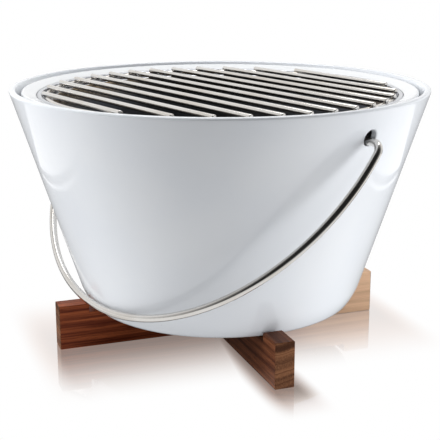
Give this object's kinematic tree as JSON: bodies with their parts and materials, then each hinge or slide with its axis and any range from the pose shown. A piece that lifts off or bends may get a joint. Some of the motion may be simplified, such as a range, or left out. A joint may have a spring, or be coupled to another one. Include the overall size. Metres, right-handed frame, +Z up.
{
  "type": "hibachi grill",
  "caption": "Round table charcoal grill: tapered white pot with a wire bail, inner bowl, coal pan and rod grate, on crossing wooden bars.",
  "frame": {"origin": "on the floor, under the pot's axis, at the centre of the crossing bars", "axes": "+Z up along the pot's axis; +X along the bail's pivot, towards one handle hole; -Y is the side on which the bail leans at rest"},
  "size_m": [0.3554, 0.3394, 0.2105],
  "materials": {
    "oiled_wood": "oiled, satin, with visible grain",
    "pot_glaze": "smooth glossy white glaze",
    "bowl_glaze": "smooth glossy white glaze",
    "pad_rubber": "matt heat-proof silicone",
    "bail_steel": "polished stainless wire",
    "grate_steel": "polished stainless rods",
    "pan_steel": "polished at the lip, heat-darkened inside",
    "fire_steel": "heat-darkened stainless rods"
  },
  "bodies": {
    "base": {"base_bar_lower": "oiled_wood", "base_bar_upper": "oiled_wood"},
    "pot": {"outer_pot": "pot_glaze", "bowl_pad_1": "pad_rubber", "bowl_pad_2": "pad_rubber", "bowl_pad_3": "pad_rubber", "bowl_pad_4": "pad_rubber"},
    "handle": {"bail": "bail_steel"},
    "bowl": {"inner_bowl": "bowl_glaze"},
    "pan": {"coal_pan": "pan_steel"},
    "fire_grate": {"fire_ring": "fire_steel", "fire_rod_1": "fire_steel", "fire_rod_2": "fire_steel", "fire_rod_3": "fire_steel", "fire_rod_4": "fire_steel", "fire_rod_5": "fire_steel", "fire_rod_6": "fire_steel", "fire_rod_7": "fire_steel", "fire_rod_8": "fire_steel", "fire_rod_9": "fire_steel", "fire_leg_1": "fire_steel", "fire_leg_2": "fire_steel", "fire_leg_3": "fire_steel", "fire_leg_4": "fire_steel"},
    "cooking_grate": {"cooking_ring": "grate_steel", "cooking_rod_1": "grate_steel", "cooking_rod_2": "grate_steel", "cooking_rod_3": "grate_steel", "cooking_rod_4": "grate_steel", "cooking_rod_5": "grate_steel", "cooking_rod_6": "grate_steel", "cooking_rod_7": "grate_steel", "cooking_rod_8": "grate_steel", "cooking_rod_9": "grate_steel", "cooking_rod_10": "grate_steel", "cooking_rod_11": "grate_steel", "cooking_rod_12": "grate_steel", "cooking_rod_13": "grate_steel"}
  },
  "joints": [
    {"name": "pot_lift", "type": "slide", "parent": "base", "child": "pot", "axis": [0, 0, 1], "range_m": [0, 0.06]},
    {"name": "bail_swing", "type": "hinge", "parent": "pot", "child": "handle", "pos_m": [0, 0, 0.1858], "axis": [-1, 0, 0], "range_deg": [0, 279.6]},
    {"name": "bowl_lift", "type": "slide", "parent": "pot", "child": "bowl", "axis": [0, 0, 1], "range_m": [0, 0.18]},
    {"name": "pan_lift", "type": "slide", "parent": "bowl", "child": "pan", "axis": [0, 0, 1], "range_m": [0, 0.16]},
    {"name": "fire_grate_lift", "type": "slide", "parent": "pan", "child": "fire_grate", "axis": [0, 0, 1], "range_m": [0, 0.15]},
    {"name": "cooking_grate_lift", "type": "slide", "parent": "fire_grate", "child": "cooking_grate", "axis": [0, 0, 1], "range_m": [0, 0.06]}
  ]
}
